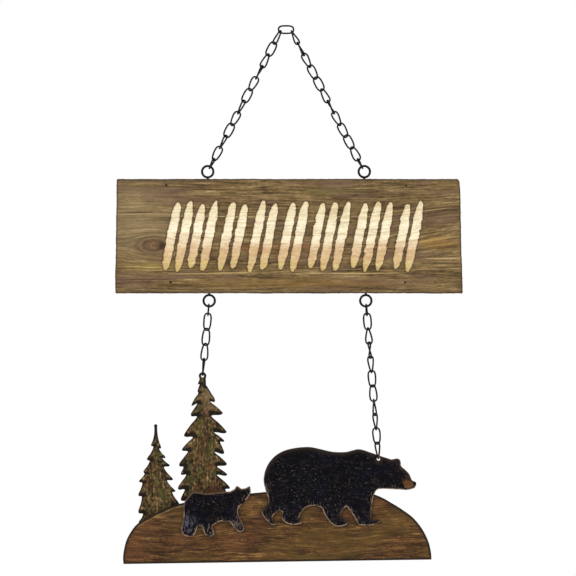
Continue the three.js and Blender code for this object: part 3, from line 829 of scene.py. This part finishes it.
def hill_relief(x, z, rim, up):
    """Shallow wavy grain ridges along the hill."""
    across = grain_flow(x, z, HILL_KNOTS) + 1.5 * np.sin(x / 23)
    return 0.14 * noise(x / 40, across / 2.2, 61) + 0.1 * noise(x / 11, across / 1.1, 62)


def pine_relief(x, z, rim, up):
    """Narrow upright grain ridges, and a groove a little in from the undersides of the branches."""
    ridges = 0.16 * noise(x / 1.2, z / 26, 63) + 0.08 * noise(x / 0.8, z / 7, 64)
    groove = 0.3 * ease(rim, 0.9, 1.6) * (1 - ease(rim, 1.8, 2.8)) * ease(-up, 0.1, 0.7)
    return ridges + groove


def bear_relief(x, z, rim, up):
    """Short brushed fur marks that follow the back, and a soft swell towards the middle."""
    marks = 0.16 * noise(x / 3.2 + z / 9, z / 0.9, 65) + 0.12 * noise(x / 1.3, z / 2.6, 66)
    return marks + 0.1 * (1 - ease(rim, 0.5, 5))


def make_hill_material():
    """Brown stained hill with wavy grain, dark rubbed edges and a painted highlight along its upper left
    edge.
    """
    material, tree, place = new_material("brown stained hill")
    grain_uv = add_node(tree, "ShaderNodeUVMap", uv_map="grain").outputs[0]
    grain = place_group(WOOD_GRAIN, {"Vector": scaled(grain_uv, (1.7, 1.9, 1))})
    wood = ramp(grain["Tone"], (0.43, (30, 18, 7)), (0.47, (56, 36, 16)), (0.51, (80, 53, 26)),
                (0.55, (104, 73, 38)), (0.6, (150, 115, 69)))
    wood = laid(wood, (40, 25, 14), grain["Pores"], 0.45)
    drift = noise_value(place, (16, 16, 30), 2)
    wood = stained(wood, drift, (0.46, 0.62, 0.4, (96, 72, 32)), (0.46, 0.34, 0.35, (104, 62, 36)))
    wood = spotted(wood, place, (
        (24, -532, 30, 5, (104, 88, 38), 0.45),
        (-66, -501, 12, 4, (120, 74, 38), 0.35),
        (62, -486, 10, 8, (88, 48, 30), 0.3),
        (-105, -512, 20, 9, (112, 70, 42), 0.4),
    ))
    swirl = plus(-0.5, (attribute(tree, "knot"), 1.0), (grain["Streaks"], 1.0))
    wood = stained(wood, swirl, (-0.5, 0.0, 0.3, (46, 30, 16)), (0.15, 0.45, 0.25, (132, 102, 66)),
                   (0.6, 0.8, 0.5, (56, 38, 23)))
    ragged = plus(attribute(tree, "rim"), (grain["Fibres"], 1.2))
    # Painted highlight: a pale broken line a little in from the upper left edge, where the light falls. The
    # dark edge gives way to it.
    line = times(span(ragged, 4.3, 3.3), span(ragged, 2.3, 3.0))
    line = times(line, spot(place, -122, -485, 40, 34))
    gaps = noise_value(place, (80, 80, 80), shift=(3, 0, 1))
    line = calculate("MINIMUM", times(line, span(gaps, 0.42, 0.6, 0.3, 1.7)), 0.36)
    wood = laid(wood, (168, 138, 92), line)
    dark = times(span(ragged, 3.9, 1.6, 0.0, 0.9), plus(1.0, (line, -1.0)))
    wood = laid(wood, (26, 18, 11), dark)
    return finish(material, wood, grain["Streaks"], (0.6, 0.82), grain["Streaks"], 0.0004, 0.16)


def make_pine_material():
    """Olive brown stained pines: upright streaks, green patches, dark edges and tips, painted shade under
    branches.
    """
    material, tree, place = new_material("olive stained pine")
    flat = add_node(tree, "ShaderNodeSeparateXYZ", {0: place}).outputs
    upright = add_node(tree, "ShaderNodeCombineXYZ", {0: flat[2], 1: flat[0]}).outputs[0]
    grain = place_group(WOOD_GRAIN, {"Vector": scaled(upright, (3.2, 1.1, 1))})
    mottle = noise_value(place, (420, 420, 300), 3, 0.65)
    tone = plus(0.0, (grain["Tone"], 0.6), (mottle, 0.4))
    wood = ramp(tone, (0.43, (22, 14, 6)), (0.47, (48, 34, 16)), (0.51, (76, 57, 30)),
                (0.55, (102, 82, 48)), (0.6, (154, 130, 90)))
    green = noise_value(place, (110, 110, 90))
    wood = stained(wood, green, (0.54, 0.66, 0.5, (70, 74, 30)), (0.44, 0.34, 0.45, (98, 60, 36)))
    wood = spotted(wood, place, (
        (-76, -364, 18, 34, (142, 120, 84), 0.4),
        (-75, -463, 22, 6, (62, 32, 20), 0.55),
        (-75, -440, 7, 6, (112, 62, 38), 0.4),
    ))
    blot = noise_value(place, (150, 150, 150), 2, shift=(4, 1, 2))
    ragged = plus(attribute(tree, "rim"), (blot, 3.0))
    # The dark band along the edges is the wood's own dark edge. Where the edge faces down, under the
    # branches, it widens into painted shade.
    width = span(attribute(tree, "up"), 0.4, -0.5, 3.0, 8.4)
    edges = span(calculate("DIVIDE", ragged, width), 1.0, 0.6)
    tips = span(plus(attribute(tree, "tip"), (blot, 3.0)), 6.8, 4.0)
    wood = laid(wood, (14, 10, 7), calculate("MAXIMUM", edges, tips), 0.95)
    return finish(material, wood, grain["Streaks"], (0.6, 0.82), grain["Streaks"], 0.0004, 0.16)


def make_bear_material(name, back_colour, back_width, marks):
    """Blue black paint brushed over wood, rubbed to brown along the back and to tan round the edges.

    The marks lie on the front alone, by rows of X, Z, radius X, radius Z, colour, strength and how far
    upright brush strokes break them up."""
    material, tree, place = new_material(name)
    flecks = noise_value(place, (420, 420, 560), 4, 0.7)
    brushed = noise_value(place, (210, 210, 640), 3, 0.6, 0.8)
    upright = noise_value(place, (760, 760, 190), 3, 0.6, 0.8)
    bare = noise_value(place, (44, 44, 62), shift=(7, 1, 4))
    clouds = noise_value(place, (60, 60, 60), 2)
    mottle = noise_value(place, (150, 150, 210), 3, 0.6, shift=(2, 8, 3))
    paint = ramp(flecks, (0.43, (1, 1, 3)), (0.52, (3, 3, 8)), (0.59, (10, 8, 15)), (0.69, (98, 88, 86)))
    paint = stained(paint, bare, (0.56, 0.42, 0.75, (4, 3, 9)))
    paint = stained(paint, clouds, (0.45, 0.65, 0.5, (7, 8, 24)))
    paint = stained(paint, mottle, (0.52, 0.68, 0.55, (36, 27, 26)))
    paint = stained(paint, brushed, (0.61, 0.67, 0.45, (68, 56, 52)))
    up = attribute(tree, "up")
    ragged = plus(attribute(tree, "rim"), (flecks, 1.6))
    legs = times(span(upright, 0.56, 0.66, 0.0, 0.55), span(ragged, 9.0, 2.5))
    paint = laid(paint, (112, 98, 88), times(legs, span(up, 0.3, -0.1)))
    back = times(span(ragged, back_width, 1.3, 0.0, 0.8), span(up, 0.0, 0.5))
    paint = laid(paint, back_colour, back)
    breaks = noise_value(place, (170, 170, 170), shift=(2, 2, 6))
    line = times(span(ragged, 2.05, 1.35), span(up, 0.5, -0.1, 0.1, 0.95))
    paint = laid(paint, (148, 126, 108), times(line, span(breaks, 0.4, 0.56, 0.25, 1.0)))
    torn = plus(-0.8, (noise_value(place, (330, 330, 330), 3, 0.7, shift=(1, 5, 3)), 1.6))
    solid = span(upright, 0.46, 0.6)
    front = attribute(tree, "front")
    for x, z, radius_x, radius_z, colour, strength, speckle in marks:
        mask = spot(place, x, z, radius_x, radius_z)
        mask = span(plus(mask, (torn, span(mask, 0.0, 0.3))), 0.15, 0.6)
        mask = times(mask, span(solid, 0.0, 1.0, 1 - speckle, 1.0))
        paint = laid(paint, colour, times(mask, front), strength)
    return finish(material, paint, flecks, (0.6, 0.8), brushed, 0.0004, 0.08)


def make_cut_outs():
    """The hill, the pines and the bears, each on its own solid's outline."""
    hill = make_hill_material()
    pine = make_pine_material()
    adult = make_bear_material("painted adult bear", (44, 34, 27), 6.0, (
        (119.5, -451.5, 6.5, 6.0, (58, 40, 27), 0.8, 0.3),
        (115.2, -440.5, 3.4, 4.4, (70, 52, 38), 0.7, 0.5),
        (122.2, -457.2, 8.2, 7.0, (112, 74, 42), 0.92, 0.5),
        (121.4, -459.6, 5.0, 2.0, (144, 100, 58), 0.6, 0.7),
        (118.0, -455.8, 3.0, 2.4, (76, 48, 30), 0.6, 0.6),
        (129.8, -456.2, 4.4, 4.2, (5, 4, 6), 1.0, 0.0),
        (117.8, -450.6, 2.6, 2.2, (3, 3, 4), 1.0, 0.0),
        (89.0, -452.9, 6.0, 8.0, (74, 56, 50), 0.4, 1.0),
    ))
    cub = make_bear_material("painted cub", (92, 72, 56), 3.0, (
        (-96.5, -497.0, 11.0, 16.0, (92, 92, 104), 0.6, 1.0),
        (-49.0, -496.0, 9.0, 10.0, (112, 97, 88), 0.6, 1.0),
        (-75.0, -502.0, 7.0, 8.0, (110, 98, 92), 0.6, 1.0),
        (-41.5, -479.5, 6.0, 9.5, (5, 4, 8), 1.0, 0.0),
    ))
    # After the corner come the reach, step, spacing, edge and relief
    for name, node, slot, material, corner, *shape in (
        ("hill_board", "hill", "hill_stain", hill, 40, 0, 0.7, 1.0, 0.9, hill_relief),
        ("pine_large_cut", "pine_large", "pine_stain", pine, 70, 1.6, 0.5, 0.75, 0.6, pine_relief),
        ("pine_small_cut", "pine_small", "pine_stain", pine, 70, 1.4, 0.5, 0.75, 0.6, pine_relief),
        ("bear_adult_cut", "bear_adult", "bear_paint", adult, 50, 1.8, 0.5, 0.7, 0.6, bear_relief),
        ("bear_cub_cut", "bear_cub", "bear_paint", cub, 50, 1.2, 0.4, 0.6, 0.5, bear_relief),
    ):
        piece, points, outline = cut_out(name, node, slot, material, corner, *shape)
        x, z = points[:, 0], points[:, 2]
        if material == hill:
            point_values(piece, knot=knot_depth(x, z, HILL_KNOTS))
            wave = 1.5 * np.sin(x / 23) + 0.6 * np.sin(x / 7 + z / 6)
            grain_map(piece, x, grain_flow(x, z, HILL_KNOTS) + wave)
        if material == pine:
            # The branches' tips are the outline's points that stand out sharply
            tips = outline[turns(outline)[3] > corner]
            point_values(piece, tip=np.linalg.norm(points[:, None, [0, 2]] - tips, axis=2).min(axis=1))


# Wire: links and screw eyes

def make_wire_material():
    """Bronze plated wire gone dark, with duller brown in its lows and rubbed spots."""
    material, tree, place = new_material("dark bronze wire")
    patches = noise_value(place, (260, 260, 260))
    fine = noise_value(place, (1400, 1400, 1400), 2)
    colour = ramp(patches, (0.35, (11, 9, 8)), (0.52, (20, 16, 13)), (0.68, (50, 39, 29)))
    give(tree.nodes["Principled BSDF"], {"Metallic": span(patches, 0.4, 0.7, 0.55, 0.9)})
    return finish(material, colour, fine, (0.34, 0.56), fine, 0.00008)


def signed_power(value, power):
    """The size of a value to a power, with the value's sign."""
    return np.sign(value) * np.abs(value) ** power


def frames_along(path, closed):
    """Two unit vectors across the path at each point, turned as little as possible from point to point.

    Each pair is the last one with its part along the new tangent taken out."""
    if closed:
        tangent = unit_rows(np.roll(path, -1, axis=0) - np.roll(path, 1, axis=0))
    else:
        tangent = unit_rows(np.gradient(path, axis=0))
    start = np.cross(tangent[0], (0.0, 1.0, 0.0))
    if np.linalg.norm(start) < 0.1:
        start = np.cross(tangent[0], (1.0, 0.0, 0.0))
    first = np.empty_like(path)
    first[0] = start / np.linalg.norm(start)
    for i in range(1, len(path)):
        side = first[i - 1] - tangent[i] * np.dot(first[i - 1], tangent[i])
        first[i] = side / np.linalg.norm(side)
    return first, np.cross(tangent, first)


def wire_mesh(path, radii, sides, closed):
    """Points and faces of a round wire: circles of the radii round the path, joined ring to ring."""
    first, second = frames_along(path, closed)
    rings = len(path)
    turn = np.tile(2 * np.pi * np.arange(sides) / sides, (rings, 1))
    if closed:
        # Spread the twist left over at the seam evenly round the path
        tangent = np.cross(first[0], second[0])
        last = first[-1] - tangent * np.dot(first[-1], tangent)
        miss = np.arctan2(np.dot(np.cross(last, first[0]), tangent), np.dot(last, first[0]))
        turn = turn + (miss * np.arange(rings) / rings)[:, None]
    circles = np.cos(turn)[:, :, None] * first[:, None] + np.sin(turn)[:, :, None] * second[:, None]
    points = path[:, None] + np.broadcast_to(radii, turn.shape)[:, :, None] * circles
    number = np.arange(rings * sides).reshape(rings, sides)
    faces = grid_faces(np.pad(number, ((0, int(closed)), (0, 1)), mode="wrap"))
    if not closed:
        faces += [number[0, ::-1].tolist(), number[-1].tolist()]
    return points.reshape(-1, 3), faces


def link_mesh(length, ends, seed):
    """A twisted link along Z: a rounded oblong of the third degree, turned evenly from end to end.

    Its wire is a little thicker at the welded joint on one side."""
    t = np.arange(RING_STEPS) / RING_STEPS
    half = (length - LINK_WIRE) / 2
    x = (LINK_WIDTH - LINK_WIRE) / 2 * signed_power(np.cos(2 * np.pi * t), 2 / 3)
    z = half * signed_power(np.sin(2 * np.pi * t), 2 / 3)
    angle = np.radians(ends[0] + (ends[1] - ends[0]) * (z + half) / (2 * half))
    path = np.column_stack([x * np.cos(angle), x * np.sin(angle), z])
    weld = 0.02 * np.exp(-(((t - 0.03 * seed) % 1 - 0.5) / 0.02) ** 2)
    radius = LINK_WIRE / 2 + WIRE_COAT * (1 - 0.4 * noise(t * 18, seed, 71)) + weld
    return wire_mesh(path, radius[:, None], LINK_SIDES, True)


def hang_hole(node):
    """The middle of a cut-out's hang hole, halfway through its thickness."""
    hole = outline_rings(node)[1]
    x, z = (hole.min(axis=0) + hole.max(axis=0)) / 2
    low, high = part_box(node)
    return x, (low.y + high.y) / 2 / MM, z


def hanging_layout():
    """The screw eyes' middles, the four runs of chain, and where the top link and the first links lie.

    A run is a name, its eye, its far end and its links' lengths and end angles, as the solids have them."""
    seat = (EYE_DIAMETER - EYE_WIRE) / 2 - EYE_WIRE / 2 - (JOINT - LINK_WIRE) - LINK_WIRE / 2

    def lengths(ends, length):
        return [CONNECTOR_LENGTH] + [length] * (len(ends) - 1)

    top_middle = -(LINK_WIDTH / 2 - LINK_WIRE)
    seat_x = (HANGING_LINK_LENGTH - LINK_WIRE) / 2 - 1.2 * JOINT
    seat_z = top_middle - ((LINK_WIDTH - LINK_WIRE) / 2 - 1.45 * JOINT)
    hanging = lengths(HANGING_LEFT_ENDS, HANGING_LINK_LENGTH)
    reach = seat + JOINT + sum(part - LINK_WIRE - JOINT for part in hanging)
    upper = seat_z - math.sqrt(reach**2 - (EYE_SPACING / 2 - seat_x) ** 2)
    lower = upper - EYE_DIAMETER - 2 * EYE_STAND - BOARD_HEIGHT
    eyes = {
        "top_left": (-EYE_SPACING / 2, 0, upper),
        "top_right": (EYE_SPACING / 2, 0, upper),
        "bottom_left": (LOWER_EYE_SHIFT - EYE_SPACING / 2, 0, lower),
        "bottom_right": (LOWER_EYE_SHIFT + EYE_SPACING / 2, 0, lower),
    }
    left_drop = lengths(DROP_LEFT_ENDS, LEFT_DROP_LINK_LENGTH)
    right_drop = lengths(DROP_RIGHT_ENDS, RIGHT_DROP_LINK_LENGTH)
    runs = (
        ("hanging_link_left", eyes["top_left"], (-seat_x, 0, seat_z), hanging, HANGING_LEFT_ENDS),
        ("hanging_link_right", eyes["top_right"], (seat_x, 0, seat_z), hanging, HANGING_RIGHT_ENDS),
        ("drop_link_left", eyes["bottom_left"], hang_hole("pine_large"), left_drop, DROP_LEFT_ENDS),
        ("drop_link_right", eyes["bottom_right"], hang_hole("bear_adult"), right_drop, DROP_RIGHT_ENDS),
    )
    return eyes, runs, top_middle, seat


def add_wire(node, points, faces, material):
    add_piece(node + "_wire", node, points, faces, material, 60)


def make_links(material, runs, top_middle, seat):
    """One piece for each link, laid out from the screw eyes as the solids are."""
    for name, eye, end, lengths, ends in runs:
        eye, end = np.array(eye), np.array(end)
        direction = (end - eye) / np.linalg.norm(end - eye)
        across = np.cross((0.0, 1.0, 0.0), direction)
        across = across / np.linalg.norm(across)
        basis = np.vstack([across, np.cross(direction, across), direction])
        near = seat
        for i, (length, pair) in enumerate(zip(lengths, ends)):
            half = (length - LINK_WIRE) / 2
            points, faces = link_mesh(length, pair, i)
            add_wire(f"{name}_{i + 1:02d}", points @ basis + eye + direction * (near + half), faces, material)
            near += 2 * half - JOINT
    points, faces = link_mesh(HANGING_LINK_LENGTH, (0, 0), 5)
    flat = np.column_stack([points[:, 2], points[:, 1], top_middle - points[:, 0]])
    add_wire("hanging_link_top", flat, faces, material)


def make_screw_eyes(material, eyes):
    """Closed wire rings on threaded shanks.

    The ring is a wire along a circle. The shank is a wire straight down from the ring's lowest point, with a
    ridge that climbs once round it for each pitch and a point at its end."""
    ring = (EYE_DIAMETER - EYE_WIRE) / 2
    wire = EYE_WIRE / 2 + EYE_COAT
    angles = 2 * np.pi * np.arange(RING_STEPS) / RING_STEPS
    circle = np.column_stack([ring * np.cos(angles), 0 * angles, ring * np.sin(angles)])
    ring_points, ring_faces = wire_mesh(circle, wire, EYE_SIDES, True)
    neck = -ring - wire - EYE_STAND
    bottom = neck - SHANK_LENGTH
    levels = np.linspace(-ring, bottom, SHANK_STEPS)
    below = np.maximum(neck - THREAD_START - levels, 0)[:, None]
    round_share = np.arange(EYE_SIDES) / EYE_SIDES
    ridge = 1 - 2 * np.abs((below / THREAD_PITCH + round_share) % 1 - 0.5)
    taper = 0.25 + 0.75 * ease(levels - bottom, 0, SHANK_POINT)[:, None]
    radii = (wire - 0.07 + THREAD_RISE * ridge**2 * ease(below, 0, 0.8)) * taper
    shank = np.column_stack([0 * levels, 0 * levels, levels])
    shank_points, shank_faces = wire_mesh(shank, radii, EYE_SIDES, False)
    points = np.vstack([ring_points, shank_points])
    faces = ring_faces + [[corner + len(ring_points) for corner in face] for face in shank_faces]
    for place, middle in eyes.items():
        turned = points * (-1, 1, -1) if place.startswith("bottom") else points
        add_wire("screw_eye_" + place, turned + np.array(middle), faces, material)


# Studio

def make_studio():
    """A pale floor under the sign, soft lights and a long lens straight in front."""
    scene = bpy.context.scene
    scene.view_settings.view_transform = "Standard"
    world = bpy.data.worlds.new("studio")
    scene.world = world
    world.use_nodes = True
    tree = world.node_tree
    tree.nodes.clear()
    path = add_node(tree, "ShaderNodeLightPath").outputs
    white = {"Color": (1, 1, 1, 1), "Strength": 1.0}
    backdrop = add_node(tree, "ShaderNodeBackground", white).outputs[0]
    white["Strength"] = span(path["Is Glossy Ray"], 0.0, 1.0, 0.62, 0.2)
    ambient = add_node(tree, "ShaderNodeBackground", white).outputs[0]
    mixed = add_node(tree, "ShaderNodeMixShader", {0: path["Is Camera Ray"], 1: ambient, 2: backdrop})
    add_node(tree, "ShaderNodeOutputWorld", {"Surface": mixed.outputs[0]})

    mesh = bpy.data.meshes.new("floor")
    signs = ((-1, -1), (1, -1), (1, 1), (-1, 1))
    corners = [(x * FLOOR_REACH, y * FLOOR_REACH, FLOOR_LEVEL) for x, y in signs]
    mesh.from_pydata(corners, [], [(0, 1, 2, 3)])
    material = bpy.data.materials.new("pale floor")
    material.use_nodes = True
    give(material.node_tree.nodes["Principled BSDF"], {"Base Color": (0.9, 0.9, 0.89, 1), "Roughness": 0.9})
    mesh.materials.append(material)
    floor = bpy.data.objects.new("floor", mesh)
    scene.collection.objects.link(floor)

    for name, place, size, power in (
        ("key light", (-1.5, -2.2, 1.0), 1.6, 46.0),
        ("fill light", (1.8, -2.2, 0.1), 1.8, 20.0),
        ("back light", (0.6, 2.4, 1.2), 1.6, 30.0),
    ):
        lamp = bpy.data.lights.new(name, "AREA")
        lamp.size = size
        lamp.energy = power
        light = bpy.data.objects.new(name, lamp)
        light.location = place
        light.rotation_euler = (LIGHT_AIM - light.location).to_track_quat("-Z", "Y").to_euler()
        scene.collection.objects.link(light)

    lens = bpy.data.cameras.new("camera")
    lens.sensor_width = SENSOR_WIDTH
    lens.lens = SENSOR_WIDTH * -CAMERA_PLACE[1] / SEEN_WIDTH
    lens.clip_end = 50
    camera = bpy.data.objects.new("camera", lens)
    camera.location = CAMERA_PLACE
    camera.rotation_euler = (math.pi / 2, 0, 0)
    scene.collection.objects.link(camera)
    scene.camera = camera


make_studio()
make_board(make_plank_material())
make_cut_outs()
wire_material = make_wire_material()
eyes, runs, top_middle, seat = hanging_layout()
make_links(wire_material, runs, top_middle, seat)
make_screw_eyes(wire_material, eyes)
